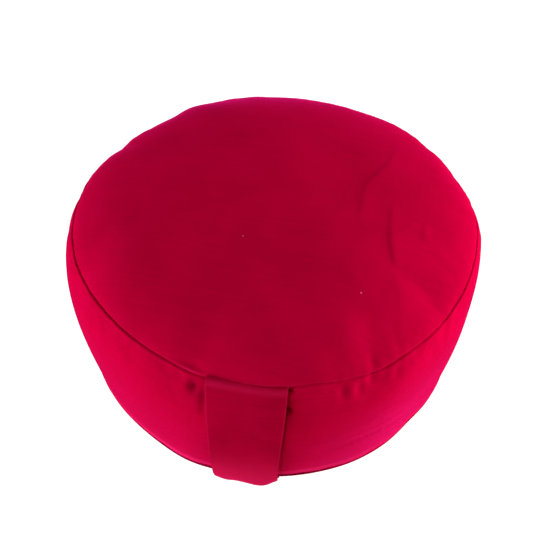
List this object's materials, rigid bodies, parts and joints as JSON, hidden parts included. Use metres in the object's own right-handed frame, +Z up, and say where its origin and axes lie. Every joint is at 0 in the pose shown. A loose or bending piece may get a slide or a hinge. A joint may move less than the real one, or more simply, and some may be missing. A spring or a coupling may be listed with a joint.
{
  "type": "zafu meditation cushion",
  "caption": "Round filled meditation cushion with a crowned top, a swelling side band and a cloth carrying strap sewn down one side.",
  "frame": {"origin": "middle of the flat base, on the surface that the cushion rests on", "axes": "+Z up through the crown; -Y towards the carrying strap; +X to the right of it seen from the strap's side"},
  "size_m": [0.3315, 0.3369, 0.1649],
  "materials": {
    "crimson_cotton": "matte plain-woven cotton with a faint soft nap",
    "strap_cotton": "the same matte cotton, doubled and pressed"
  },
  "bodies": {
    "root": {"cushion": "crimson_cotton", "handle_strap": "strap_cotton"}
  },
  "joints": []
}
